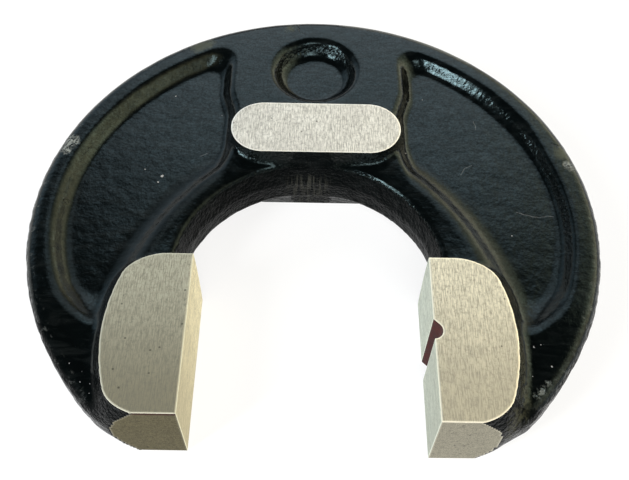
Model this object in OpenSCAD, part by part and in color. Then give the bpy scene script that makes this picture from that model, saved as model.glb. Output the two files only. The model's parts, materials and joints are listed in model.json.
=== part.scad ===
// Snap gauge: a forged C-shaped frame with ground jaws on both sides of a measuring gap.
// Lengths are millimetres. +Z runs through the thickness and the gap opens towards -Y.
// The origin lies under the middle of the outline, on the plane that the ground faces rest on.
// Shapes are drawn around the centre of the outer circle and moved to that origin at the end.

/* [Gap] */
// Distance between the two measuring faces
gap_w = 40; // [36:0.1:42]
// Sideways offset of the gap from the middle of the frame
gap_shift = -0.5; // [-1:0.1:1]
// How far the measuring faces stand out from the sides of the throat
jaw_step = 2.9; // [1:0.1:4]

/* [Jaws] */
// Thickness over the ground faces, from the resting plane to the upper faces
pad_t = 16; // [15:0.1:20]
// Distance from the middle of the outer circle to the ground front end of the right jaw
jaw_front = 39.7; // [37:0.1:42]
// How much shorter the left jaw is ground
left_short = 0.6; // [0.1:0.1:1.5]
// Length of the measuring faces from front to back
jaw_len = 29.5; // [24:0.1:32]
// Widest part of a jaw face, measured out from the measuring face
jaw_w = 13.4; // [10:0.1:15]
// Radius of the bowed outer edge of a jaw face
jaw_bow_r = 32; // [28:0.5:60]
// Corner radius of a jaw face at the back
jaw_back_r = 6; // [2:0.1:8]
// Corner radius of a jaw face at the front
jaw_front_r = 4; // [2:0.1:8]

/* [Groove] */
// Distance from the front end to the middle of the groove that parts the two gauging lengths
groove_pos = 15.6; // [10:0.1:20]
// Radius of the groove's round bottom
groove_r = 1.5; // [0.5:0.1:3]
// How much further the groove opens on its slanted side
groove_flank = 0.6; // [0.2:0.1:2]

/* [Frame] */
// Outer diameter of the frame
outer_d = 102.2; // [98:0.1:112]
// Thickness across the rims
frame_t = 12.4; // [11:0.1:14]
// Radius of the frame's outer edges
edge_r = 2.2; // [0.5:0.1:4]
// Width of the outer rim
rim_w = 4.8; // [3:0.1:7]
// Radius of the arms' outer corners at the front ends
tip_r = 7; // [3:0.1:9]
// How much lower the rims are at the front ends
tip_drop = 3.2; // [0.5:0.1:4]
// Distance in front of the middle where the rims start to fall
tip_start = 20; // [12:0.5:28]

/* [Pockets] */
// Thickness of the web between opposite pockets
web_t = 7.6; // [5:0.1:9]
// How much wider a pocket is at the rim than at its floor
pocket_draft = 0.5; // [0.1:0.1:2]
// Radius of the gentle slope at a pocket's outer side
pocket_r = 44.2; // [40:0.1:46]
// How far the middle of that slope lies behind the middle of the frame
pocket_shift = 3; // [0:0.1:5]
// Radius of a pocket's corner between the rim and the boss
pocket_corner_r = 5; // [1:0.1:7]
// Radius of a pocket's inner side, around the throat
inner_r = 52.9; // [50:0.1:56]
// How far the middle of that side lies across the middle of the frame
inner_across = 16.4; // [14:0.1:19]
// How far the middle of that side lies in front of the middle of the frame
inner_ahead = 26.5; // [24:0.1:29]
// Width of the slope from the pocket floor up to the rim around the throat
inner_slope = 2.5; // [0.5:0.1:5]
// Distance in front of the middle where the pocket floor ends
pocket_end = 16; // [8:0.5:20]
// Length of the ramp from the end of the floor up to the rim
pocket_ramp = 6; // [2:0.5:10]

/* [Throat] */
// Distance from the middle of the outer circle to the back of the throat
throat_back = 11.6; // [6:0.1:14]
// Sideways offset of the throat from the middle of the frame
throat_shift = -0.9; // [-2:0.1:2]
// How much wider the throat's radius is at the rims than halfway up
throat_draft = 0.8; // [0.1:0.1:2]
// Radius of the throat's upper and lower edges
throat_edge_r = 1.6; // [0.5:0.1:3]

/* [Boss] */
// Width of the boss between the pockets
boss_w = 36; // [30:0.1:44]
// Distance from the middle to where the boss starts to narrow
boss_neck = 30; // [27:0.5:36]
// Width of the boss left beside each end of the label pad
boss_margin = 0.6; // [0.2:0.1:2]

/* [Label pad] */
// Length of the ground label pad
label_len = 32.2; // [24:0.1:36]
// Height of the label pad from front to back
label_h = 12.2; // [8:0.1:14]
// Distance from the middle of the outer circle to the middle of the pad
label_pos = 18.9; // [17:0.1:22]

/* [Finger recess] */
// Diameter of the recess at its mouth
recess_d = 16.6; // [12:0.1:19]
// Diameter of the recess floor
recess_floor_d = 13; // [8:0.1:16]
// Depth of the recess below the rims
recess_depth = 3; // [1:0.1:4]
// Distance from the middle of the outer circle to the middle of the recess
recess_pos = 36; // [34:0.1:38]

/* [Hidden] */
$fn = 180;
// Points on each rounded corner and on each bowed edge of a jaw face
corner_steps = 10;
bow_steps = 14;
// Run of cutting shapes past the faces that they cut
over = 1;
enamel = [0.07, 0.08, 0.10];

outer_r = outer_d / 2;
mid_y = (outer_r - jaw_front) / 2;
jaw_back = jaw_front - jaw_len;
throat_r = gap_w / 2 + jaw_step;
throat_y = throat_back - throat_r;
throat_a = atan(throat_draft / (frame_t / 2));
rim_z = (pad_t + frame_t) / 2;
floor_z = (pad_t + web_t) / 2;
wall_r = outer_r - rim_w;
pocket_depth = rim_z - floor_z;
cut_h = pocket_depth + over;

// Points on an arc, both ends included
function arc(centre, r, from, to, steps) = [
    for (i = [0 : steps])
        let (a = from + (to - from) * i / steps)
            centre + r * [cos(a), sin(a)]
];

// Middle of a corner arc that touches the bowed edge from inside, at a given distance along Y
function corner_centre(bow, r, y) =
    [bow[0] + sqrt(pow(jaw_bow_r - r, 2) - pow(y - bow[1], 2)), y];

// Outline of a jaw face, with the measuring face along X = 0
function jaw_outline() =
    let (
        bow = [jaw_w - jaw_bow_r, -(jaw_front + jaw_back) / 2],
        front = corner_centre(bow, jaw_front_r, -jaw_front + jaw_front_r),
        back = corner_centre(bow, jaw_back_r, -jaw_back - jaw_back_r),
        front_a = atan2(front[1] - bow[1], front[0] - bow[0]),
        back_a = atan2(back[1] - bow[1], back[0] - bow[0])
    )
    concat(
        [[0, -jaw_back], [0, -jaw_front]],
        arc(front, jaw_front_r, -90, front_a, corner_steps),
        arc(bow, jaw_bow_r, front_a, back_a, bow_steps),
        arc(back, jaw_back_r, back_a, 90, corner_steps)
    );

// The same shape on the upper and the lower side of the frame
module both_sides() {
    children();
    translate([0, 0, pad_t])
        mirror([0, 0, 1])
            children();
}

// A shape drawn in the YZ plane, extruded right across the frame
module across() {
    translate([-outer_r - over, 0, 0])
        rotate([90, 0, 90])
            linear_extrude(outer_d + 2 * over)
                children();
}

// Round disc with rounded edges, from which the frame is cut
module disc() {
    rotate_extrude()
        translate([0, pad_t - rim_z]) {
            square([outer_r - edge_r, frame_t]);
            translate([0, edge_r])
                square([outer_r, frame_t - 2 * edge_r]);
            translate([outer_r - edge_r, edge_r])
                circle(edge_r);
            translate([outer_r - edge_r, frame_t - edge_r])
                circle(edge_r);
        }
}

// Wedge above the falling rims at the front ends
module tip_cut() {
    fall = tip_drop / (jaw_front - tip_start);
    end_y = outer_r + over;
    across()
        polygon([
            [-tip_start + over, rim_z + fall * over],
            [-tip_start + over, pad_t + over],
            [-end_y, pad_t + over],
            [-end_y, rim_z - fall * (end_y - tip_start)]
        ]);
}

// Corner of the arms between the outer wall and the front end, kept round
module tip_corner() {
    centre = [sqrt(pow(outer_r - tip_r, 2) - pow(jaw_front - tip_r, 2)), tip_r - jaw_front];
    touch = centre * outer_r / (outer_r - tip_r);
    translate([0, 0, -over])
        linear_extrude(pad_t + 2 * over)
            difference() {
                polygon([
                    centre,
                    [centre[0], -outer_r - over],
                    [outer_r + over, -outer_r - over],
                    touch * (outer_r + over) / outer_r
                ]);
                translate(centre)
                    circle(tip_r);
            }
}

// Boss between the two pockets, carrying the label pad and the finger recess
module boss_outline() {
    half = boss_w / 2;
    neck = label_len / 2 + boss_margin;
    polygon([
        [-half, outer_r],
        [-half, boss_neck],
        [-neck, label_pos],
        [-neck, throat_y],
        [0, throat_y],
        [0, outer_r]
    ]);
}

// Round filling of a pocket's corner between the rim and the boss
module pocket_corner() {
    far = -boss_w / 2 - pocket_corner_r;
    centre = [far, sqrt(pow(wall_r - pocket_corner_r, 2) - pow(far, 2))];
    difference() {
        polygon([
            centre,
            [-boss_w / 2, centre[1]],
            [-boss_w / 2, outer_r],
            centre * outer_r / (wall_r - pocket_corner_r)
        ]);
        translate(centre)
            circle(pocket_corner_r);
    }
}

// Ground kept at the front end of each pocket: the ramp and the arm beyond it
module pocket_ramp_end() {
    run = pocket_ramp / pocket_depth;
    across()
        polygon([
            [-pocket_end + run * over, floor_z - over],
            [-pocket_end - run * cut_h, floor_z + cut_h],
            [-outer_r - over, floor_z + cut_h],
            [-outer_r - over, floor_z - over]
        ]);
}

// Crescent pocket in the left arm
module pocket() {
    wall_run = pocket_draft / pocket_depth;
    inner_run = inner_slope / pocket_depth;
    difference() {
        intersection() {
            translate([0, 0, floor_z])
                cylinder(h = cut_h, r1 = wall_r - pocket_draft, r2 = wall_r + wall_run * over);
            translate([0, pocket_shift, floor_z])
                cylinder(h = cut_h, r1 = pocket_r, r2 = pocket_r + cut_h);
            translate([-outer_r, -outer_r, floor_z])
                cube([outer_r, outer_d, cut_h]);
        }
        translate([inner_across, -inner_ahead, floor_z - over])
            cylinder(
                h = cut_h + 2 * over,
                r1 = inner_r + inner_run * over,
                r2 = inner_r - inner_run * (cut_h + over)
            );
        translate([0, 0, floor_z - over])
            linear_extrude(cut_h + 2 * over) {
                boss_outline();
                pocket_corner();
            }
        pocket_ramp_end();
    }
}

// The same shape in both arms
module both_arms() {
    children();
    mirror([1, 0, 0])
        children();
}

// Upper half of the round throat behind the gap, widening towards the rim
module throat() {
    h = pad_t / 2 + over;
    translate([throat_shift, throat_y, pad_t / 2])
        cylinder(h = h, r1 = throat_r, r2 = throat_r + h * tan(throat_a));
}

// Rounding of the throat's upper edge
module throat_edge() {
    centre_z = rim_z - throat_edge_r;
    wall = throat_r + (centre_z - pad_t / 2) * tan(throat_a);
    centre_x = wall + throat_edge_r / cos(throat_a);
    touch_z = centre_z + throat_edge_r * sin(throat_a);
    translate([throat_shift, throat_y, 0])
        rotate_extrude()
            difference() {
                translate([throat_r - over, touch_z])
                    square([centre_x - throat_r + over, rim_z + over - touch_z]);
                translate([centre_x, centre_z])
                    circle(throat_edge_r);
            }
}

// Raised jaw blocks with their D-shaped ground faces
module jaws() {
    intersection() {
        linear_extrude(pad_t)
            translate([gap_shift, 0])
                for (side = [0, 1])
                    mirror([side, 0])
                        translate([gap_w / 2, 0])
                            polygon(jaw_outline());
        cylinder(h = pad_t, r = outer_r);
    }
}

// Raised ground pad on the boss
module label_pad() {
    end = (label_len - label_h) / 2;
    translate([0, label_pos, 0])
        linear_extrude(pad_t) {
            square([2 * end, label_h], center = true);
            for (side = [-1, 1])
                translate([side * end, 0])
                    circle(label_h / 2);
        }
}

// Open space between the measuring faces, cleared out through the front
module gap() {
    translate([gap_shift - gap_w / 2, -outer_r - over, -over])
        cube([gap_w, outer_r + over - jaw_back, pad_t + 2 * over]);
}

// Everything in front of the ground front end of one arm, reaching from the gap past the side
module front(end_y) {
    translate([0, -outer_r - over, -over])
        cube([outer_r + over, outer_r + over - end_y, pad_t + 2 * over]);
}

// Relief groove through the thickness of one measuring face
module groove() {
    open_y = groove_r + groove_flank;
    touch = acos(groove_r / open_y);
    translate([gap_shift + gap_w / 2, groove_pos - jaw_front, -over])
        linear_extrude(pad_t + 2 * over) {
            circle(groove_r);
            polygon([
                [-over, 0],
                [-over, open_y],
                [0, open_y],
                groove_r * [sin(touch), cos(touch)],
                [0, 0]
            ]);
        }
}

// Shallow round finger recess in the boss
module recess() {
    run = (recess_d - recess_floor_d) / 2 / recess_depth;
    translate([0, recess_pos, rim_z - recess_depth])
        cylinder(
            h = recess_depth + over,
            d1 = recess_floor_d,
            d2 = recess_d + 2 * run * over
        );
}

// The whole gauge: one forging, ground on its jaws and its label pad
module gauge_frame() {
    color(enamel)
        translate([0, -mid_y, 0])
            difference() {
                union() {
                    difference() {
                        disc();
                        both_sides() {
                            tip_cut();
                            both_arms()
                                pocket();
                            throat();
                            throat_edge();
                            recess();
                        }
                        both_arms()
                            tip_corner();
                    }
                    jaws();
                    label_pad();
                }
                gap();
                front(jaw_front);
                mirror([1, 0, 0])
                    front(jaw_front - left_short);
                groove();
            }
}

gauge_frame();
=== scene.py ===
"""Looks of a snap gauge: an enamelled forging with ground jaws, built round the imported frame.

Shapes are worked out in millimetres around the centre of the outer circle, as distance fields
that blend softly where the forging does. The ground faces are then cut flat, and the whole moves
to the row frame.
"""

import json
import math

import bmesh
import bpy
import numpy as np
import openvdb
from mathutils import Matrix, Vector


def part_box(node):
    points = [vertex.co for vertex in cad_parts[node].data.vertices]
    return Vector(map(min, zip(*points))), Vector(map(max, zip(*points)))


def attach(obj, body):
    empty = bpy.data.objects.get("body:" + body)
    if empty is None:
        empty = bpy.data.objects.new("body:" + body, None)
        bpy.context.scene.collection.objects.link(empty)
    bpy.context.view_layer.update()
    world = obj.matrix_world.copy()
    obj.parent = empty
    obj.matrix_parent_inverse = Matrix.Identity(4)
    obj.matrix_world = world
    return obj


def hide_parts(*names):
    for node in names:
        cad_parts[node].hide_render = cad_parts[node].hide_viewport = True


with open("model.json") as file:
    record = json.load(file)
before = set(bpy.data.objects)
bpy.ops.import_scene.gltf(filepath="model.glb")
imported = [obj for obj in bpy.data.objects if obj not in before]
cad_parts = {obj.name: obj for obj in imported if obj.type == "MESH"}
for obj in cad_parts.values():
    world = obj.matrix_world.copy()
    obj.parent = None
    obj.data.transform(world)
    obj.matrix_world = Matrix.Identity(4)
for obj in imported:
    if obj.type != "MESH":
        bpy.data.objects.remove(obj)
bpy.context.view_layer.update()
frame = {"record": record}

MM = 0.001
NODE = "gauge_frame"
BODY = "root"
mounts = {m["name"]: Vector(m["pos_m"]) / MM for m in frame["record"]["mounts"]}

# Sizes that the frame gives
node_low, node_high = (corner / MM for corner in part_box(NODE))
OUTER_R = (node_high.x - node_low.x) / 2
MID_Y = OUTER_R - node_high.y
JAW_FRONT = -node_low.y - MID_Y
PAD_H = node_high.z / 2
LEFT_FACE = mounts["left_measuring_face"].x
RIGHT_FACE = mounts["right_measuring_face"].x
GAP_MID = (LEFT_FACE + RIGHT_FACE) / 2
GAP_HALF = (RIGHT_FACE - LEFT_FACE) / 2

# Frame section: heights are measured from the middle of the thickness
RIM_H = 6.3
RIDGE_R = 46.2
RIM_CROWN = 0.004
EDGE_R = 2.2
TIP_START = 21
TIP_SLOPE = 0.165
FALL_BLEND = 3
TIP_R = 2.2
TIP_BACK = 0.8

# Pockets
FLOOR_H = 3.8
WALL_Y = -1.2
WALL_R = 45.1
WALL_DRAFT = 0.8
STEEP_DRAFT = 0.35
STEEP_BELOW = (12, 24)
SLOPE_R = 44.8
SLOPE_Y = 3
SLOPE_RISE = 1.0
SLOPE_EDGE_R = 1
INNER_R = 52.9
INNER_ACROSS = 16.4
INNER_AHEAD = 26.5
INNER_RISE = 1.9
INNER_CORNER_R = 2
BOSS_HALF = 18.9
BOSS_NECK = 17.4
BOSS_TAPER = (24, 31)
BOSS_DRAFT = 0.75
CORNER_R = 4.5
RAMP_END = 21.6
RAMP_RISE = 0.55
RAMP_R = 3
RAMP_CORNER_R = 5
POCKET_FOOT_R = 0.7
POCKET_EDGE_R = 0.8

# Throat and finger recess
THROAT_X = -0.9
THROAT_Y = -11.3
THROAT_R = 22.9
THROAT_DRAFT = 0.13
THROAT_EDGE_R = 0.8
THROAT_FALL = 0.2
THROAT_FALL_R = 30
RECESS_X = -0.3
RECESS_Y = 36.1
RECESS_R = 6.6
RECESS_H = 3.1
RECESS_RISE = 0.55
RECESS_FOOT_R = 1.2
RECESS_EDGE_R = 1.0

# Label pad and jaws
PAD_HALF = 10
PAD_R = 6.1
PAD_Y = 18.9
PAD_DRAFT = 0.2
PAD_SKIRT = 2.5
PAD_FILLET = 0.8
JAW_BACK = 10.2
JAW_W = 13.4
BOW_R = 32
BOW_DRAFT = 0.4
BACK_DRAFT = 0.08
JAW_BELLY = 4.9
JAW_BELLY_POWER = 2.6
JAW_BACK_R = 4.3
JAW_FRONT_R = 4.3
JAW_MID_R = 2.4
JAW_MID_H = 3
JAW_UNDER_R = 3.2
JAW_FILLET = 1.4
LEFT_SHORT = 0.6
GROOVE_Y = -24.1
GROOVE_R = 1.5
GROOVE_OPEN = 2.1
GROOVE_NEAR = 0.5

# Grinding: metal left for it, how near a cut vertices join, and the broken edges
STOCK = 1.2
FRONT_STOCK = 0.25
GAP_CUT_BEHIND = 3
SNAP = 0.1
MERGE = 0.2
MANY_SIDES = 12
SQUARE_ON = 0.9
GROUND_FLAT = 0.999
GROOVE_UPRIGHT = 0.5
CHAMFER_W = 0.32
CHAMFER_DEPTH = 0.06
CHAMFER_REACH = 4
CHAMFER_ROUNDS = 4
CHAMFER_SLACK = 0.01
CHAMFER_MERGE = 0.02

# Mesh
VOXEL = 0.45
MARGIN = 2
SETTLE_ROUNDS = 3
LEAST_SLOPE = 0.05
FINE_STEP = 0.05
WIDE_STEP = 0.3
BEND_STEP = 0.7

# Unevenness: wave length, height and seed of the forging's waves and of the paint's sags
FORGED_WAVES = [(9, 0.014, 1), (4, 0.008, 2)]
SAG_WAVES = [(2.6, 0.05, 3), (1.6, 0.03, 4)]
WAVE_SPREAD = (0.7, 1.5)
FORGED_SINK = 0.015
SAG_SINK = 0.04
SAG_LEVEL = (0.5, 0.68)
CLEAR_OF_GROUND = (0.3, 2.5)
# Places where the paint has run: x, y and radius
RUNS = [(-23.8, 38.2, 3.5), (0.5, 43, 4), (27, 38, 6)]
RUN_GAIN = 1.6


def round_max(a, b, r):
    """Distance to what two shapes share, with its edge rounded."""
    corner = np.hypot(np.maximum(a + r, 0), np.maximum(b + r, 0))
    return np.minimum(-r, np.maximum(a, b)) + corner


def round_min(a, b, r):
    """Distance to two shapes joined, with a fillet between them."""
    return -round_max(-a, -b, r)


def soft_ramp(t, width):
    """Zero below zero and t above it, with a soft start."""
    return (t + np.sqrt(t * t + width * width)) / 2


def soft_step(t, start, end):
    """Rises smoothly from 0 to 1."""
    s = np.clip((t - start) / (end - start), 0, 1)
    return s * s * (3 - 2 * s)


def fade(t, start, end):
    """Falls smoothly from 1 to 0."""
    return 1 - soft_step(t, start, end)


def disc(x, y, h):
    """Round forging with crowned rims that fall towards the throat and the front ends."""
    radius = np.hypot(x, y)
    wall = radius - OUTER_R
    crown = RIM_CROWN * np.maximum(radius - RIDGE_R, 0) ** 2
    fall = TIP_SLOPE * soft_ramp(-TIP_START - y, FALL_BLEND)
    into_throat = THROAT_FALL_R - np.hypot(x - THROAT_X, y - THROAT_Y)
    fall = fall + THROAT_FALL * soft_ramp(into_throat, FALL_BLEND)
    top = h - RIM_H + crown + fall
    front = -y - JAW_FRONT + TIP_BACK
    return round_max(round_max(wall, top, EDGE_R), front, TIP_R)


def pocket(x, y, h):
    """Crescent pockets in both arms. The right one has a steeper outer wall beside the gap."""
    rise = h - FLOOR_H
    steep = (WALL_DRAFT - STEEP_DRAFT) * fade(y, *STEEP_BELOW)
    draft = WALL_DRAFT - np.where(x > 0, steep, 0)
    x = np.abs(x)
    wall = np.hypot(x, y - WALL_Y) - WALL_R - draft * rise
    slope = np.hypot(x, y - SLOPE_Y) - SLOPE_R - SLOPE_RISE * rise
    inner = INNER_R - INNER_RISE * rise - np.hypot(x + INNER_ACROSS, y + INNER_AHEAD)
    boss_half = BOSS_NECK + (BOSS_HALF - BOSS_NECK) * soft_step(y, *BOSS_TAPER)
    boss = boss_half - BOSS_DRAFT * rise - x
    ramp = (RAMP_RISE * (-RAMP_END - y) - rise) / math.hypot(1, RAMP_RISE)
    outer = round_max(wall, slope / math.hypot(1, SLOPE_RISE), SLOPE_EDGE_R)
    outer = round_max(outer, ramp, RAMP_CORNER_R)
    sides = round_max(outer, boss, CORNER_R)
    sides = round_max(sides, inner / math.hypot(1, INNER_RISE), INNER_CORNER_R)
    return round_max(sides, round_max(-rise, ramp, RAMP_R), POCKET_FOOT_R)


def recess(x, y, h):
    """Round finger recess in the boss."""
    rise = h - RECESS_H
    side = np.hypot(x - RECESS_X, y - RECESS_Y) - RECESS_R - RECESS_RISE * rise
    return round_max(side / math.hypot(1, RECESS_RISE), -rise, RECESS_FOOT_R)


def opening(x, y, h):
    """Throat behind the gap, and the gap itself short of its ground faces."""
    throat = np.hypot(x - THROAT_X, y - THROAT_Y) - THROAT_R - THROAT_DRAFT * h
    slot = np.maximum(np.abs(x - GAP_MID) - GAP_HALF + STOCK, y - THROAT_Y)
    return np.minimum(throat, slot)


def label_pad(x, y, h):
    """Raised pad with round ends, before it is ground flat."""
    below = np.clip(PAD_H - h, 0, PAD_SKIRT)
    across = np.maximum(np.abs(x) - PAD_HALF, 0)
    side = np.hypot(across, y - PAD_Y) - PAD_R - PAD_DRAFT * below
    return np.maximum(side, h - PAD_H - STOCK)


def jaw(x, y, z):
    """D-shaped jaw blocks on both sides of the gap, before they are ground."""
    h = np.abs(z - PAD_H)
    out = np.abs(x - GAP_MID) - GAP_HALF
    face_r = np.where(z > PAD_H, JAW_FRONT_R, JAW_UNDER_R)
    corner_r = JAW_MID_R + (face_r - JAW_MID_R) * soft_step(h, JAW_MID_H, PAD_H)
    belly = JAW_BELLY * (1 - np.minimum(h / PAD_H, 1) ** JAW_BELLY_POWER)
    bow_y = y + (JAW_FRONT + JAW_BACK) / 2
    bow = np.hypot(out - JAW_W + BOW_R, bow_y) - BOW_R - BOW_DRAFT * belly
    back = y + JAW_BACK - BACK_DRAFT * belly
    front = -y - JAW_FRONT - FRONT_STOCK + np.where(x < 0, LEFT_SHORT, 0)
    outline = round_max(bow / math.hypot(1, BOW_DRAFT), back, JAW_BACK_R)
    outline = round_max(outline, front, corner_r)
    return np.maximum(np.maximum(outline, -out - STOCK), h - PAD_H - STOCK)


def groove(x, y):
    """Relief groove in the right measuring face: a round bottom with one slanted side."""
    u, v = x - RIGHT_FACE, y - GROOVE_Y
    touch = math.acos(GROOVE_R / GROOVE_OPEN)
    slant = u * math.sin(touch) + v * math.cos(touch) - GROOVE_R
    flank = np.maximum(np.maximum(slant, -v), u - GROOVE_R * math.sin(touch))
    straight = np.maximum(np.maximum(-v - GROOVE_R, v), u)
    mouth = np.maximum(np.minimum(flank, straight), -u - 2 * STOCK)
    return np.minimum(np.hypot(u, v) - GROOVE_R, mouth)


def forging(x, y, z):
    """Signed distance to the whole gauge, with stock left on its ground faces."""
    h = np.abs(z - PAD_H)
    body = round_max(disc(x, y, h), -pocket(x, y, h), POCKET_EDGE_R)
    body = round_max(body, -recess(x, y, h), RECESS_EDGE_R)
    body = round_max(body, -opening(x, y, h), THROAT_EDGE_R)
    body = round_min(body, label_pad(x, y, h), PAD_FILLET)
    body = round_min(body, jaw(x, y, z), JAW_FILLET)
    return np.maximum(body, -groove(x, y))


def gradient(points, step=FINE_STEP):
    """Slope of the distance at each point."""
    slopes = []
    for axis in np.eye(3) * step:
        ahead, behind = forging(*(points + axis).T), forging(*(points - axis).T)
        slopes.append((ahead - behind) / (2 * step))
    return np.stack(slopes, 1)


def levelness(points):
    """How level the surface is at each point, from 0 on an upright wall to 1 on a flat."""
    facing = gradient(points, WIDE_STEP)
    return np.abs(facing[:, 2]) / np.linalg.norm(facing, axis=1)


def bending(points):
    """How sharply the surface bends: above zero on outward edges and below zero in hollows."""
    bend = -6 * forging(*points.T)
    for axis in np.eye(3) * BEND_STEP:
        bend += forging(*(points + axis).T) + forging(*(points - axis).T)
    return bend / BEND_STEP**2


def forged_surface():
    """Points and quads of the forging's surface."""
    low = np.array([-OUTER_R, -JAW_FRONT, -STOCK]) - MARGIN
    high = np.array([OUTER_R, OUTER_R, 2 * PAD_H + STOCK]) + MARGIN
    axes = [np.arange(a, b, VOXEL) for a, b in zip(low, high)]
    field = forging(*np.meshgrid(*axes, indexing="ij"))
    grid = openvdb.FloatGrid(MARGIN)
    grid.copyFromArray(np.clip(field, -MARGIN, MARGIN).astype(np.float32))
    points, quads = grid.convertToQuads()
    points = points.astype(float) * VOXEL + low
    for _ in range(SETTLE_ROUNDS):
        slope = gradient(points)
        steepness = np.maximum((slope**2).sum(1), LEAST_SLOPE)
        points -= slope * (forging(*points.T) / steepness)[:, None]
    return points, quads


def ripple(points, length, seed, waves=40):
    """Smooth noise of about unit height: plane waves of about one length in random directions."""
    rng = np.random.default_rng(seed)
    axes = rng.normal(size=(waves, 3))
    turns = 2 * np.pi / length * rng.uniform(*WAVE_SPREAD, waves)
    axes *= (turns / np.linalg.norm(axes, axis=1))[:, None]
    phase = rng.uniform(0, 2 * np.pi, waves)
    return np.sin(points @ axes.T + phase).sum(1) / math.sqrt(waves)


def rippled(points, kinds):
    """Height of several kinds of waves together."""
    return sum(height * ripple(points, length, seed) for length, height, seed in kinds)


def lumps(points):
    """Height of the paint's sags and of the forging's unevenness, never above the true form."""
    x, y, z = points.T
    wall = fade(levelness(points), *SAG_LEVEL)
    spreads = [np.exp(-((x - run_x) ** 2 + (y - run_y) ** 2) / r**2) for run_x, run_y, r in RUNS]
    run = 1 + sum(RUN_GAIN * spread for spread in spreads)
    forged = rippled(points, FORGED_WAVES) - FORGED_SINK
    sag = wall * run * (rippled(points, SAG_WAVES) - SAG_SINK)
    to_ground = np.minimum(jaw(x, y, z), label_pad(x, y, np.abs(z - PAD_H)))
    return soft_step(to_ground, *CLEAR_OF_GROUND) * np.minimum(forged + sag, 0)


def grind(bm, place, facing, side, behind):
    """Cuts away what stands beyond a plane and closes the cut with flat faces.
    side limits it to one arm, and behind to what lies in front of that distance along Y."""
    middles = [(f, f.calc_center_median()) for f in bm.faces]
    faces = [f for f, c in middles if c.x * side >= 0 and c.y < behind]
    parts = dict.fromkeys(part for f in faces for part in (*f.verts, *f.edges, f))
    done = bmesh.ops.bisect_plane(
        bm, geom=list(parts), dist=SNAP, use_snap_center=True,
        plane_co=place, plane_no=facing, clear_outer=True,
    )
    corners = [v for v in done["geom_cut"] if isinstance(v, bmesh.types.BMVert)]
    bmesh.ops.remove_doubles(bm, verts=corners, dist=MERGE)
    rim = [e for e in bm.edges if e.is_boundary]
    bmesh.ops.holes_fill(bm, edges=rim, sides=0)


def grind_all(bm):
    """Grinds the upper and lower faces, the measuring faces and the front ends, and returns them."""
    gap_end = GAP_CUT_BEHIND - JAW_BACK
    cuts = [
        ((0, 0, 2 * PAD_H), (0, 0, 1), 0, OUTER_R),
        ((0, 0, 0), (0, 0, -1), 0, OUTER_R),
        ((LEFT_FACE, 0, 0), (1, 0, 0), -1, gap_end),
        ((RIGHT_FACE, 0, 0), (-1, 0, 0), 1, gap_end),
        ((0, LEFT_SHORT - JAW_FRONT, 0), (0, -1, 0), -1, OUTER_R),
        ((0, -JAW_FRONT, 0), (0, -1, 0), 1, OUTER_R),
    ]
    for cut in cuts:
        grind(bm, *cut)
    return [f for f in bm.faces if len(f.verts) > MANY_SIDES]


def stepped_in(outline, facing):
    """A face's outline moved into the face by the chamfer's width, clear of every side near it."""
    sides = np.roll(outline, -1, 0) - outline
    lengths = np.linalg.norm(sides, axis=1)
    along = sides / lengths[:, None]
    inward = np.cross(facing, along)
    moved = outline + CHAMFER_W * inward
    for _ in range(CHAMFER_ROUNDS):
        for shift in range(-CHAMFER_REACH, CHAMFER_REACH + 1):
            offset = moved - np.roll(outline, shift, 0)
            run = (offset * np.roll(along, shift, 0)).sum(1)
            depth = (offset * np.roll(inward, shift, 0)).sum(1)
            beside = (run > -CHAMFER_SLACK) & (run < np.roll(lengths, shift) + CHAMFER_SLACK)
            push = np.where(beside, np.clip(CHAMFER_W - depth, 0, CHAMFER_W), 0)
            moved = moved + np.roll(inward, shift, 0) * push[:, None]
    return moved


def ease_edges(bm, ground):
    """Breaks the edges of the ground faces, and marks their outer corners, where the steel gets a
    painted highlight.
    Returns the faces inside."""
    rubbed_and_glint = bm.verts.layers.float.new("rubbed_and_glint")
    lowered = {}
    inside = []
    for face in ground:
        outer = list(face.verts)
        facing = Vector(round(c) for c in face.normal)
        for v in outer:
            v[rubbed_and_glint] = 1
            lowered[v] = lowered.get(v, Vector()) + facing * CHAMFER_DEPTH
        outline = np.array([v.co for v in outer])
        inner = [bm.verts.new(place) for place in stepped_in(outline, np.array(facing))]
        finish = face.material_index
        bm.faces.remove(face)
        for i in range(len(outer)):
            strip = bm.faces.new((outer[i - 1], outer[i], inner[i], inner[i - 1]))
            strip.material_index = finish
        flat = bm.faces.new(inner)
        flat.material_index = finish
        inside.append(flat)
    for v, drop in lowered.items():
        v.co -= drop
    return inside


def ground_name(face):
    """Which ground face this is."""
    c, n = face.calc_center_median(), face.normal
    if abs(n.z) > SQUARE_ON and c.y > 0:
        return "pad"
    part = "jaw" if abs(n.z) > SQUARE_ON else "measuring" if abs(n.x) > SQUARE_ON else "end"
    return ("left_" if c.x < 0 else "right_") + part


def in_groove(face):
    """Whether a face is a wall of the groove, and not the ground face beside it."""
    c = face.calc_center_median()
    near = math.hypot(c.x - RIGHT_FACE, c.y - GROOVE_Y) < GROOVE_OPEN + GROOVE_NEAR
    return near and abs(face.normal.z) < GROOVE_UPRIGHT and abs(face.normal.x) < GROUND_FLAT


def set_finishes(bm, ground, slots):
    """Gives each face its finish."""
    for face in bm.faces:
        face.smooth = True
        face.material_index = slots["groove_paint"] if in_groove(face) else slots["enamel"]
    for face in ground:
        face.material_index = slots[ground_name(face)]


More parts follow.
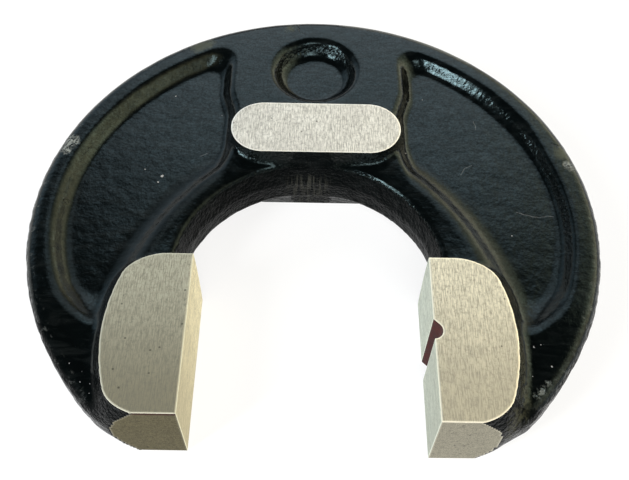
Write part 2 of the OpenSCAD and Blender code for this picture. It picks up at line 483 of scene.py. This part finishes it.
def gauge_mesh(slots):
    """The gauge as one closed mesh, in the row frame. slots gives each finish's place in the mesh."""
    points, quads = forged_surface()
    slope = gradient(points)
    points += slope / np.linalg.norm(slope, axis=1)[:, None] * lumps(points)[:, None]
    mesh = bpy.data.meshes.new("gauge_forging")
    mesh.from_pydata(points.tolist(), [], quads.tolist())
    bm = bmesh.new()
    bm.from_mesh(mesh)
    bmesh.ops.recalc_face_normals(bm, faces=bm.faces)
    ground = grind_all(bm)
    set_finishes(bm, ground, slots)
    bm.normal_update()
    inside = ease_edges(bm, ground)
    corners = [v for face in inside for v in face.verts]
    bmesh.ops.remove_doubles(bm, verts=corners, dist=CHAMFER_MERGE)
    for e in bm.edges:
        e.smooth = len({f.material_index for f in e.link_faces}) == 1
    for v in bm.verts:
        v.co.z = max(v.co.z, 0)
    to_row = Matrix.Scale(MM, 4) @ Matrix.Translation((0, -MID_Y, 0))
    bmesh.ops.transform(bm, matrix=to_row, verts=bm.verts)
    bm.to_mesh(mesh)
    bm.free()
    return mesh


# Where the enamel's marks come in or end: distances in millimetres, bends in 1/mm, levels 0 to 1
EDGE_BEND = (0.15, 0.8)
EDGE_RADIUS = (48, 49.5)
THROAT_NEAR = (0.1, 0.7)
THROAT_BEHIND = (1 - JAW_BACK, 3 - JAW_BACK)
THROAT_LEVEL = (0.3, 0.5)
OUTER_LEVEL = (0.3, 0.8)
OUTER_RADIUS = (48, 50.2)
LEFT_TIP = 20
RIGHT_TIP = 33
TIP_AHEAD = (0, 4)
TIP_RADIUS = (45.5, 48)
MATT_ABOVE = 0.6
UNDER_PAD_NEAR = (0.5, 1.5)
UNDER_PAD_AHEAD = (3, 5)
UNDER_PAD_ACROSS = (5, 12)
LEFT_SEAM = 0.66
RIGHT_SEAM = 0.35
SEAM_BEND = (0.03, 0.2)
SEAM_AHEAD = (-20, -5)
SEAM_RADIUS = (46.8, 47.8)
SEAM_END = (10, 17)
SEAM_OUTSIDE = (37, 40)
WRINKLE_LEVEL = (0.56, 0.66)
# Where the warm reflection is painted on the left pocket's outer slope
WARM_FROM_LEVEL = (0.5, 0.62)
WARM_TO_LEVEL = (0.8, 0.9)
WARM_LEFT = (18, 24)
WARM_Y = (-24, -18)
WARM_FROM_RADIUS = (43.5, 44.8)
WARM_TO_RADIUS = (47, 47.8)


def store(mesh, name, values):
    """Keeps a number for each vertex, which the finishes read."""
    layer = mesh.attributes.new(name, "FLOAT", "POINT")
    layer.data.foreach_set("value", np.asarray(values, np.float32))


def throat_wall(x, y, z, level):
    """Where the throat's upright wall is."""
    near = fade(np.abs(opening(x, y, np.abs(z - PAD_H))), *THROAT_NEAR)
    return near * soft_step(y, *THROAT_BEHIND) * fade(level, *THROAT_LEVEL)


def matt_outside(x, y, level):
    """Where the outer wall and the front ends have gone matt."""
    radius = np.hypot(x, y)
    side = fade(level, *OUTER_LEVEL) * soft_step(radius, *OUTER_RADIUS)
    ahead = -y - np.where(x < 0, LEFT_TIP, RIGHT_TIP)
    tip = soft_step(ahead, *TIP_AHEAD) * soft_step(radius, *TIP_RADIUS)
    return np.maximum(tip, side)


def under_pad(x, y, z):
    """The slope in front of the label pad, where painted shade darkens the reflections."""
    near = fade(label_pad(x, y, np.abs(z - PAD_H)), *UNDER_PAD_NEAR)
    return near * soft_step(PAD_Y - y, *UNDER_PAD_AHEAD) * fade(np.abs(x), *UNDER_PAD_ACROSS)


def seams(x, y, bend):
    """Bends along the pockets, from the boss forward, where painted shade darkens the reflections,
    more on the left. Near the front only the outer ones count.
    """
    strength = np.where(x < 0, LEFT_SEAM, RIGHT_SEAM)
    seam = strength * soft_step(np.abs(bend), *SEAM_BEND) * soft_step(-y, *SEAM_AHEAD)
    seam *= fade(np.hypot(x, y), *SEAM_RADIUS)
    return seam * np.maximum(fade(-y, *SEAM_END), soft_step(np.abs(x), *SEAM_OUTSIDE))


def left_slope(x, y, level):
    """The left pocket's outer slope, where a warm reflection is painted in olive."""
    radius = np.hypot(x, y)
    slope = soft_step(level, *WARM_FROM_LEVEL) * fade(level, *WARM_TO_LEVEL)
    slope *= soft_step(-x, *WARM_LEFT) * soft_step(y, *WARM_Y)
    return slope * soft_step(radius, *WARM_FROM_RADIUS) * fade(radius, *WARM_TO_RADIUS)


def note_form(mesh, gloss, matt):
    """Marks worn edges, the throat, wrinkled walls, darker reflections from matt paint and from
    painted shade under the pad and along the pockets' bends, and a painted warm reflection on the
    left slope, for the enamel to read.
    Faces of the gloss finish become matt in the throat, on the outer wall and at the front ends."""
    flat = np.zeros(len(mesh.vertices) * 3)
    mesh.vertices.foreach_get("co", flat)
    points = flat.reshape(-1, 3) / MM + [0, MID_Y, 0]
    x, y, z = points.T
    bend = bending(points)
    level = levelness(points)
    throat = throat_wall(x, y, z, level)
    flat_sheen = np.maximum(throat, matt_outside(x, y, level))
    # Darker reflections: matt paint in the throat and outside, and painted shade under the pad and
    # along the pockets' bends.
    dull_and_shade = np.maximum(np.maximum(flat_sheen, under_pad(x, y, z)), seams(x, y, bend))
    store(mesh, "edge", soft_step(bend, *EDGE_BEND) * soft_step(np.hypot(x, y), *EDGE_RADIUS))
    store(mesh, "throat", throat)
    store(mesh, "dull_and_shade", dull_and_shade)
    store(mesh, "wall", fade(level, *WRINKLE_LEVEL))
    # Painted warm reflection on the left pocket's outer slope.
    store(mesh, "warm_reflection", left_slope(x, y, level))
    for face in mesh.polygons:
        if face.material_index == gloss and flat_sheen[face.vertices[0]] > MATT_ABOVE:
            face.material_index = matt


class Graph:
    """Shader nodes of a material or world, made by calls that take values or other nodes' outputs."""

    def __init__(self, owner):
        owner.use_nodes = True
        self.tree = owner.node_tree
        self.tree.nodes.clear()

    def add(self, kind, inputs, output=0, **settings):
        """Makes a node and returns one of its outputs."""
        node = self.tree.nodes.new("ShaderNode" + kind)
        for name, value in settings.items():
            setattr(node, name, value)
        for key, value in inputs.items():
            if isinstance(value, bpy.types.NodeSocket):
                self.tree.links.new(value, node.inputs[key])
            else:
                node.inputs[key].default_value = value
        return node.outputs[output] if node.outputs else None

    def math(self, operation, *values, clamp=False):
        return self.add("Math", dict(enumerate(values)), operation=operation, use_clamp=clamp)

    def times(self, product, *values):
        """Several values multiplied."""
        for value in values:
            product = self.math("MULTIPLY", product, value)
        return product

    def most(self, greatest, *values):
        """The greatest of several values."""
        for value in values:
            greatest = self.math("MAXIMUM", greatest, value)
        return greatest

    def least(self, smallest, *values):
        """The least of several values."""
        for value in values:
            smallest = self.math("MINIMUM", smallest, value)
        return smallest

    def vector(self, operation, *values, output=0):
        return self.add("VectorMath", dict(enumerate(values)), output, operation=operation)

    def noise(self, place, scale, detail=2.0, roughness=0.5, distortion=0.0):
        return self.add("TexNoise", {
            "Vector": place, "Scale": scale,
            "Detail": detail, "Roughness": roughness, "Distortion": distortion,
        })

    def stretched(self, place, scales, detail, roughness, distortion=0.0):
        """Noise with a scale of its own along each axis."""
        return self.noise(self.vector("MULTIPLY", place, scales), 1.0, detail, roughness, distortion)

    def span(self, value, low, high, start=0.0, end=1.0):
        """start to end as the value goes from low to high, smoothly."""
        return self.add("MapRange", {
            "Value": value, "From Min": low, "From Max": high, "To Min": start, "To Max": end,
        }, interpolation_type="SMOOTHSTEP")

    def mix(self, share, a, b):
        """Colour a, or b where share is 1."""
        return self.add("Mix", {0: share, 6: a, 7: b}, output=2, data_type="RGBA")

    def bump(self, height, depth, normal=None):
        """Normal of a surface whose height goes up to depth, in millimetres."""
        inputs = {"Strength": 1.0, "Distance": depth * MM, "Height": height}
        if normal is not None:
            inputs["Normal"] = normal
        return self.add("Bump", inputs)

    def attribute(self, name):
        return self.add("Attribute", {}, output=2, attribute_name=name)

    def place(self):
        """Place on the object in millimetres, around the centre of the outer circle."""
        spot = self.add("TexCoord", {}, output=3)
        return self.vector("MULTIPLY_ADD", spot, (1 / MM,) * 3, (0, MID_Y, 0))

    def part(self, place, axis):
        """One coordinate of a place: 0 is X, 1 is Y and 2 is Z."""
        return self.add("SeparateXYZ", {0: place}, output=axis)

    def spots(self, plan, marks):
        """Distance to the nearest of several round marks (x, y, radius), below zero inside."""
        distances = []
        for x, y, r in marks:
            away = self.vector("DISTANCE", plan, (x, y, 0), output=1)
            distances.append(self.math("SUBTRACT", away, r))
        return self.least(*distances)

    def strokes(self, plan, marks):
        """Distance to the nearest of several straight strokes (x, y, end x, end y)."""
        distances = []
        for x, y, end_x, end_y in marks:
            run = Vector((end_x - x, end_y - y, 0))
            offset = self.vector("SUBTRACT", plan, (x, y, 0))
            along = self.vector("DOT_PRODUCT", offset, tuple(run / run.length_squared), output=1)
            along = self.math("MULTIPLY", along, 1.0, clamp=True)
            spot = self.vector("MULTIPLY_ADD", tuple(run), along, (x, y, 0))
            distances.append(self.vector("DISTANCE", plan, spot, output=1))
        return self.least(*distances)

    def surface(self, inputs):
        shader = self.add("BsdfPrincipled", inputs)
        self.add("OutputMaterial", {"Surface": shader})


def grey(value, tint=(1, 1, 1)):
    """A grey, or a tint made darker."""
    return (*(value * c for c in tint), 1)


def rgb(red, green, blue):
    return (red, green, blue, 1)


# Round marks on the upper side: x, y and radius in millimetres, around the centre of the outer circle
DUST = [
    (-28.8, 9.7, 0.28), (-29.3, 8.2, 0.22), (-32.2, 11.2, 0.2), (-28.5, 30.2, 0.16),
    (-18.7, 25.3, 0.14), (17.3, 16, 0.18), (21.5, 30.5, 0.16), (35.6, -2.5, 0.18),
    (-39, -29.6, 0.13), (-36.7, -30.7, 0.1), (-36.8, -32.5, 0.15), (-35.2, -32.8, 0.11),
    (-35, -34.4, 0.1), (36, -25.5, 0.18), (37.1, -25.2, 0.13), (38.6, -28.7, 0.16),
    (32.4, -20.7, 0.16), (35.4, -30.3, 0.13),
]
BARE = [
    (-46.2, 15.8, 1.5), (-46.9, 13.8, 1.2), (47.6, 12.2, 1.0), (48.2, 11, 0.7),
    (37.6, -31.4, 0.4), (36.6, -32.5, 0.5), (35.6, -33.6, 0.5),
]
OLIVE = [(-24.5, 42.2, 1.7), (-22.8, 43, 1.3), (46.8, 15.2, 1.5), (-5.6, 48, 0.9)]
BUBBLE = (-45.3, 2.8, 0.5)
FILED = (-1.5, 11.6, 4)

# Straight marks: x and y of both ends
HAIRS = [
    (31.3, 25, 31.5, 22.7), (29.9, 13.6, 28.5, 13), (28.5, 13, 27.6, 11.2),
    (37, 2.8, 40, 1.7), (40, 1.7, 43.7, 2), (-22, 14.7, -20.5, 15.5),
]
CRACKS = [
    (-4.3, 50.5, -4, 47.5), (-4, 47.5, -3, 46.6), (45, 17, 48.3, 17.3), (50, 2.9, 51, 2.2),
]
# Olive streaks along the right jaw's fillet
OLIVE_STROKES = [(32.4, -22, 33.2, -28), (33.2, -28, 33.6, -35), (33, -36.5, 31, -38.6)]
WORN_EDGE = [(6, 50.3, 19, 47), (19, 47, 31, 40.3)]

# How far the marks fray, in millimetres
LOOSE_FRAY = 2.4
FINE_FRAY = 0.8

# The enamel's colours, its reflections' tints and how strongly it reflects
ENAMEL = rgb(0.0009, 0.0014, 0.0015)
SHEEN = rgb(0.63, 0.93, 1)
DULL_SHEEN = rgb(0.10, 0.13, 0.12)
# Faint dust, laid in streaks that also paint the streaky reflections on the flats
DUST_AND_SHEEN = rgb(0.10, 0.115, 0.115)
LINT = grey(0.25)
PRIMER = rgb(0.16, 0.17, 0.16)
# Olive for the olive marks and for the painted warm reflection
OLIVE_TINT = rgb(0.032, 0.033, 0.021)
FILED_PAINT = rgb(0.06, 0.06, 0.05)
CRACK = grey(0.001)
ENAMEL_IOR = 1.4
FULL_GLOSS = 0.5
MATT_GLOSS = 0.06

# Depth of the enamel's fine relief, in millimetres
PEEL_DEPTH = 0.06
GRAIN_DEPTH = 0.013
WRINKLE_DEPTH = 0.3
FILE_DEPTH = 0.22
CHIP_DEPTH = 0.12


class Enamel(Graph):
    """Thick blue-black enamel with orange peel, dust, chips and worn edges, with a painted warm
    reflection and painted shade.
    """

    def __init__(self, material):
        super().__init__(material)
        self.here = self.place()
        self.plan = self.vector("MULTIPLY", self.here, (1, 1, 0))
        self.level = self.part(self.here, 2)
        self.upper = self.math("GREATER_THAN", self.level, PAD_H)
        self.throat = self.attribute("throat")
        wander = self.add("TexNoise", {"Vector": self.here, "Scale": 0.8, "Detail": 3.0}, output=1)
        self.wander = self.vector("SUBTRACT", wander, (0.5,) * 3)
        self.mark_wear()

    def frayed(self, reach):
        """The plan, shifted about at random so that marks get ragged outlines."""
        return self.vector("MULTIPLY_ADD", self.wander, (reach, reach, 0), self.plan)

    def mark_wear(self):
        """Works out where the paint has olive marks, and where it is worn, dusty or cracked."""
        loose, fine = self.frayed(LOOSE_FRAY), self.frayed(FINE_FRAY)
        edge = self.attribute("edge")

        olive = self.times(self.span(self.spots(loose, OLIVE), 0.8, -0.9), self.upper)
        patches = self.span(self.noise(self.here, 1.5, 4.0), 0.35, 0.6)
        olive_streaks = self.times(self.span(self.strokes(loose, OLIVE_STROKES), 1.3, 0.2), patches, self.upper)
        self.olive_marks = self.most(olive, olive_streaks)

        scuffs = self.span(self.noise(self.here, 0.9, 4.0, 0.7), 0.55, 0.75)
        rubbed_and_glint = self.times(scuffs, edge, 0.5)
        worn_edge = self.times(self.span(self.strokes(loose, WORN_EDGE), 2.2, 0.8), edge, 0.7)
        chips = self.span(self.noise(self.here, 2.5, 3.0), 0.35, 0.6)
        bare = self.times(self.span(self.spots(loose, BARE), 0.3, -0.6), self.upper, chips)
        self.worn = self.most(rubbed_and_glint, worn_edge, bare)

        specks = self.span(self.spots(fine, DUST), 0.0, -0.12)
        hairs = self.span(self.strokes(fine, HAIRS), 0.09, 0.03, 0, 0.22)
        self.lint = self.times(self.most(specks, hairs), self.upper)
        self.cracks = self.times(self.span(self.strokes(loose, CRACKS), 0.25, 0.08), self.upper)

    def filed(self):
        """File marks on the throat's wall, clear of its upper edge."""
        marks = self.span(self.stretched(self.here, (3.6, 0.3, 0.25), 3.0, 0.6), 0.48, 0.62)
        patch = self.span(self.spots(self.plan, [FILED]), 1.5, -2, 0, 0.35)
        below = self.span(self.level, PAD_H + 3, PAD_H + 1)
        return self.times(marks, self.throat, patch, below)

    def colour(self):
        streaks = self.stretched(self.here, (0.12, 0.5, 0.3), 5.0, 0.6, 1.2)
        clouds = self.span(self.noise(self.here, 0.7, 4.0, 0.65), 0.3, 0.65, 0.15, 0.5)
        warm_reflection = self.times(self.attribute("warm_reflection"), clouds)
        # Faint dust in streaks, which also paint the streaky reflections on the flats.
        colour = self.mix(self.span(streaks, 0.45, 0.75, 0, 0.03), ENAMEL, DUST_AND_SHEEN)
        # Olive marks: patches on the rims and streaks along the right jaw's fillet.
        colour = self.mix(self.olive_marks, colour, OLIVE_TINT)
        # Painted warm reflection in olive on the left pocket's outer slope.
        colour = self.mix(warm_reflection, colour, OLIVE_TINT)
        colour = self.mix(self.filed(), colour, FILED_PAINT)
        colour = self.mix(self.worn, colour, PRIMER)
        colour = self.mix(self.lint, colour, LINT)
        return self.mix(self.cracks, colour, CRACK)

    def roughness(self):
        rough = self.span(self.noise(self.here, 0.5, 3.0), 0.3, 0.7, 0.1, 0.2)
        marks = ((self.worn, 0.4), (self.throat, 0.2), (self.lint, 0.5), (self.olive_marks, 0.2))
        for mark, gain in marks:
            rough = self.math("MULTIPLY_ADD", mark, gain, rough)
        return rough

    def sheen(self):
        """Tint of the reflections: darker in smears, in a fine mottle and on matt walls, and darker
        as painted shade under the pad and along the pockets' bends.
        """
        smears = self.stretched(self.here, (0.5, 1.6, 1), 4.0, 0.75, 0.6)
        mottle = self.noise(self.here, 2.6, 2.0, 0.7)
        sheen = self.mix(self.span(smears, 0.35, 0.65, 0, 0.5), SHEEN, DULL_SHEEN)
        sheen = self.mix(self.span(mottle, 0.35, 0.65, 0, 0.65), sheen, DULL_SHEEN)
        return self.mix(self.attribute("dull_and_shade"), sheen, DULL_SHEEN)

    def normal(self):
        """Relief of the orange peel, grain, wrinkles, file marks, chips and one burst bubble."""
        peel = self.noise(self.here, 0.8)
        grain = self.noise(self.here, 4.0, 2.0, 0.6)
        wrinkles = self.math("SUBTRACT", self.noise(self.here, 1.6), 0.5)
        wrinkles = self.times(wrinkles, self.attribute("wall"))
        file_marks = self.stretched(self.here, (2.6, 2.6, 0.35), 3.0, 0.6)
        file_marks = self.times(self.math("SUBTRACT", file_marks, 0.5), self.throat)
        ring = self.span(self.math("ABSOLUTE", self.spots(self.plan, [BUBBLE])), 0.25, 0, 0, 0.5)
        chips = self.math("SUBTRACT", ring, self.math("ADD", self.worn, self.cracks))
        normal = self.bump(peel, PEEL_DEPTH)
        normal = self.bump(grain, GRAIN_DEPTH, normal)
        normal = self.bump(wrinkles, WRINKLE_DEPTH, normal)
        normal = self.bump(file_marks, FILE_DEPTH, normal)
        return self.bump(self.times(chips, self.upper), CHIP_DEPTH, normal)


def enamel(material, gloss=FULL_GLOSS):
    """The enamel at a given gloss."""
    g = Enamel(material)
    g.surface({
        "Base Color": g.colour(), "Roughness": g.roughness(), "Normal": g.normal(),
        "Specular Tint": g.sheen(), "IOR": ENAMEL_IOR, "Specular IOR Level": gloss,
    })


def dull_enamel(material):
    """The same enamel where it has gone matt."""
    enamel(material, MATT_GLOSS)


# Colour of each ground face, partly the steel's own tone and partly painted light and shade as each
# face catches the light, how much painted shade darkens it towards the front, and how thick its pits
# are
STEEL = {
    "pad": ((0.78, 0.76, 0.70), 0.0, 0.1),
    "left_jaw": ((0.505, 0.49, 0.39), 0.75, 0.3),
    "right_jaw": ((0.77, 0.735, 0.61), 0.55, 0.1),
    # Warm tint: painted reflection of the warm light from the right.
    "left_measuring": ((0.97, 0.89, 0.60), 0.6, 0.3),
    "right_measuring": ((0.62, 0.67, 0.575), 0.35, 0.3),
    # The front ends are darker: partly a browner steel, partly painted shade.
    "left_end": ((0.137, 0.118, 0.060), 0.0, 0.3),
    "right_end": ((0.378, 0.355, 0.275), 0.0, 0.3),
}
LINE_DEPTH = 0.012
SPECKLE_DEPTH = 0.015
RED_LINE = 0.7
RED_LINE_PAINT = rgb(0.05, 0.018, 0.014)
GROOVE_RED = rgb(0.022, 0.003, 0.003)
GROOVE_WORN_RED = rgb(0.045, 0.008, 0.007)
GROOVE_GLOSS = 0.08
GROOVE_DEPTH = 0.05


def front_shade(tint):
    """Painted shade on the steel towards the front ends: its colour darker and a little warmer."""
    red, green, blue = tint
    return grey(0.3, (1.1 * red, green, 0.8 * blue))


def margin_highlight(tint):
    """Painted highlight along the broken edges: the steel's colour made brighter."""
    return rgb(*(min(1.1 * c + 0.12, 1) for c in tint))


def pits(g, place, share):
    """Small pits in a share of the cells of a random pattern."""
    cells = {"Vector": place, "Scale": 0.7}
    cell_value = g.add("SeparateColor", {0: g.add("TexVoronoi", cells, output=1)})
    chosen = g.math("LESS_THAN", cell_value, share)
    return g.times(g.span(g.add("TexVoronoi", cells), 0.17, 0.08, 0, 0.75), chosen)


def ground_steel(material, tint, fall, pitted, red_line=False):
    """Ground steel with lines along Y, speckle and pits, a painted highlight on its margins, and
    painted shade that darkens it towards the front.
    """
    g = Graph(material)
    place = g.place()
    lines = g.stretched(place, (5, 0.45, 5), 3.0, 0.75)
    stain = g.stretched(place, (0.3, 0.12, 0.3), 4.0, 0.6)
    speckle = g.noise(place, 1.8, 3.0, 0.8)
    # Painted shade: darker towards the front.
    ahead = g.span(g.part(place, 1), -JAW_BACK, -JAW_FRONT, 0, fall)
    colour = g.mix(ahead, rgb(*tint), front_shade(tint))
    colour = g.mix(g.span(stain, 0.35, 0.7, 0, 0.15), colour, grey(0.4, tint))
    colour = g.mix(g.span(lines, 0.35, 0.6, 0.7, 0), colour, grey(0.35, tint))
    colour = g.mix(g.span(speckle, 0.35, 0.5, 0.5, 0), colour, grey(0.35, tint))
    colour = g.mix(pits(g, place, pitted), colour, grey(0.1, tint))
    # Painted highlight along the broken edges.
    colour = g.mix(g.times(g.attribute("rubbed_and_glint"), 0.9), colour, margin_highlight(tint))
    if red_line:
        upper_edge = 2 * PAD_H
        line = g.span(g.part(place, 2), upper_edge - RED_LINE, upper_edge - 0.7 * RED_LINE, 0, 0.9)
        colour = g.mix(line, colour, RED_LINE_PAINT)
    rough = g.span(lines, 0.25, 0.75, 0.66, 0.54)
    normal = g.bump(speckle, SPECKLE_DEPTH, g.bump(lines, LINE_DEPTH))
    g.surface({"Base Color": colour, "Metallic": 1.0, "Roughness": rough, "Normal": normal})


def groove_paint(material):
    """Dark red paint, rubbed in places."""
    g = Graph(material)
    wear = g.noise(g.place(), 1.1, 4.0, 0.65)
    g.surface({
        "Base Color": g.mix(g.span(wear, 0.4, 0.7), GROOVE_RED, GROOVE_WORN_RED),
        "Roughness": g.span(wear, 0.3, 0.7, 0.35, 0.55),
        "Normal": g.bump(wear, GROOVE_DEPTH),
        "Specular IOR Level": GROOVE_GLOSS,
    })


def make_gauge():
    """The gauge with all its finishes."""
    finishes = {"enamel": enamel, "dull_enamel": dull_enamel, "groove_paint": groove_paint}
    names = [*finishes, *STEEL]
    slots = {name: i for i, name in enumerate(names)}
    mesh = gauge_mesh(slots)
    note_form(mesh, slots["enamel"], slots["dull_enamel"])
    for name in names:
        material = bpy.data.materials.new(name)
        if name in STEEL:
            ground_steel(material, *STEEL[name], red_line=name == "left_end")
        else:
            finishes[name](material)
        mesh.materials.append(material)
    gauge = bpy.data.objects.new("gauge_forging", mesh)
    bpy.context.scene.collection.objects.link(gauge)
    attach(gauge, BODY)
    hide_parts(NODE)


# The photograph's camera, around the row frame, in millimetres and degrees
CAMERA_TARGET = Vector((0.124, 3.784 - MID_Y, 0))
CAMERA_DISTANCE = 161.35
CAMERA_AZIMUTH = -0.56
CAMERA_ELEVATION = 55.967
CAMERA_ROLL = 1.478
CAMERA_LENS = 47.133
SENSOR = 36
NEAREST_SEEN = 10


def towards(azimuth, elevation):
    """Direction out from the object: azimuth 0 is to the front and 90 to the right, in degrees."""
    a, e = math.radians(azimuth), math.radians(elevation)
    return Vector((math.sin(a) * math.cos(e), -math.cos(a) * math.cos(e), math.sin(e)))


def looking_back(out):
    """Turn of a camera or lamp that looks back along a direction."""
    return out.to_track_quat("Z", "Y").to_matrix().to_4x4()


def make_camera():
    camera = bpy.data.objects.new("camera", bpy.data.cameras.new("camera"))
    bpy.context.scene.collection.objects.link(camera)
    out = towards(CAMERA_AZIMUTH, CAMERA_ELEVATION)
    turn = looking_back(out) @ Matrix.Rotation(math.radians(CAMERA_ROLL), 4, "Z")
    eye = (CAMERA_TARGET + out * CAMERA_DISTANCE) * MM
    camera.matrix_world = Matrix.Translation(eye) @ turn
    camera.data.lens = CAMERA_LENS
    camera.data.sensor_width = SENSOR
    camera.data.clip_start = NEAREST_SEEN * MM
    bpy.context.scene.camera = camera


# Floor, a round sheet that turns up far away: sizes in metres, its colour and its share of glow
FLOOR_RINGS = (0.15, 1)
FLOOR_REACH = 4.0
FLOOR_BEND = 0.5
FLOOR_BEND_STEPS = 6
FLOOR_SIDES = 96
BACKDROP_TOP = 0.85
FLOOR_BELOW = 0.02 * MM
PAPER = grey(0.9)
GLOW = 0.8


def floor_profile():
    """Radius and height of the floor's rings, from the middle out."""
    flat = FLOOR_REACH - FLOOR_BEND
    profile = [(r, 0) for r in (*FLOOR_RINGS, flat)]
    for i in range(1, FLOOR_BEND_STEPS + 1):
        a = math.pi / 2 * i / FLOOR_BEND_STEPS
        profile.append((flat + FLOOR_BEND * math.sin(a), FLOOR_BEND - FLOOR_BEND * math.cos(a)))
    return [*profile, (FLOOR_REACH, BACKDROP_TOP)]


def floor_mesh():
    bm = bmesh.new()
    angles = [2 * math.pi * k / FLOOR_SIDES for k in range(FLOOR_SIDES)]
    rings = []
    for r, z in floor_profile():
        places = [(r * math.cos(t), r * math.sin(t), z - FLOOR_BELOW) for t in angles]
        rings.append([bm.verts.new(place) for place in places])
    bm.faces.new(rings[0])
    for inner, outer in zip(rings, rings[1:]):
        for k in range(FLOOR_SIDES):
            after = (k + 1) % FLOOR_SIDES
            bm.faces.new((inner[k], outer[k], outer[after], inner[after]))
    mesh = bpy.data.meshes.new("floor")
    bm.to_mesh(mesh)
    bm.free()
    return mesh


def pale_floor(material):
    """White paper that the camera and reflections see lit from within, and that keeps shadows."""
    g = Graph(material)
    rays = ("Is Camera Ray", "Is Glossy Ray", "Is Transmission Ray")
    seen = g.most(*(g.add("LightPath", {}, output=ray) for ray in rays))
    paper = g.add("BsdfDiffuse", {"Color": PAPER})
    white = g.add("Emission", {"Color": grey(1), "Strength": 1.0})
    shader = g.add("MixShader", {0: g.times(seen, GLOW), 1: paper, 2: white})
    g.add("OutputMaterial", {"Surface": shader})


def make_stage():
    mesh = floor_mesh()
    material = bpy.data.materials.new("pale_floor")
    pale_floor(material)
    mesh.materials.append(material)
    floor = bpy.data.objects.new("floor", mesh)
    bpy.context.scene.collection.objects.link(floor)


# Soft light of the room: azimuth, elevation, inner and outer half angle, colour
ROOM = {
    "back window": (178, 42, 6, 24, (2.1, 2.25, 2.4)),
    "back right wall": (124, 28, 14, 38, (2.1, 1.95, 1.4)),
    "back left wall": (-140, 20, 8, 32, (0.85, 1.02, 1.16)),
    "right lamp": (90, 18, 14, 46, (1.8, 1.42, 0.85)),
    "low back right": (150, 8, 8, 27, (1.3, 1.15, 0.8)),
    "front right": (62, 30, 8, 26, (1.0, 0.95, 0.85)),
}
DIM = (0.02, 0.022, 0.024)

# Lamps: azimuth, elevation, width, height and distance in metres, watts, colour
LAMPS = {
    "window": (-56, 29, 0.20, 0.70, 0.9, 14.0, (0.95, 0.98, 1.0)),
    "front": (15, 48, 0.42, 0.36, 0.9, 4.4, (1.0, 0.99, 0.97)),
}


def make_room():
    """Soft patches of light all round, on a dim ground."""
    world = bpy.data.worlds.new("studio")
    bpy.context.scene.world = world
    g = Graph(world)
    direction = g.add("TexCoord", {}, output=0)
    light = DIM
    for azimuth, elevation, inner, outer, colour in ROOM.values():
        near = g.vector("DOT_PRODUCT", direction, tuple(towards(azimuth, elevation)), output=1)
        share = g.span(near, math.cos(math.radians(outer)), math.cos(math.radians(inner)))
        light = g.vector("MULTIPLY_ADD", share, colour, light)
    g.add("OutputWorld", {"Surface": g.add("Background", {"Color": light, "Strength": 1.0})})


def make_lamps():
    for name, (azimuth, elevation, width, height, distance, watts, colour) in LAMPS.items():
        light = bpy.data.lights.new(name, "AREA")
        light.shape = "RECTANGLE"
        light.size = width
        light.size_y = height
        light.energy = watts
        light.color = colour
        lamp = bpy.data.objects.new(name, light)
        out = towards(azimuth, elevation)
        lamp.matrix_world = Matrix.Translation(out * distance) @ looking_back(out)
        bpy.context.scene.collection.objects.link(lamp)


make_gauge()
make_camera()
make_stage()
make_room()
make_lamps()
bpy.context.scene.view_settings.view_transform = "Standard"
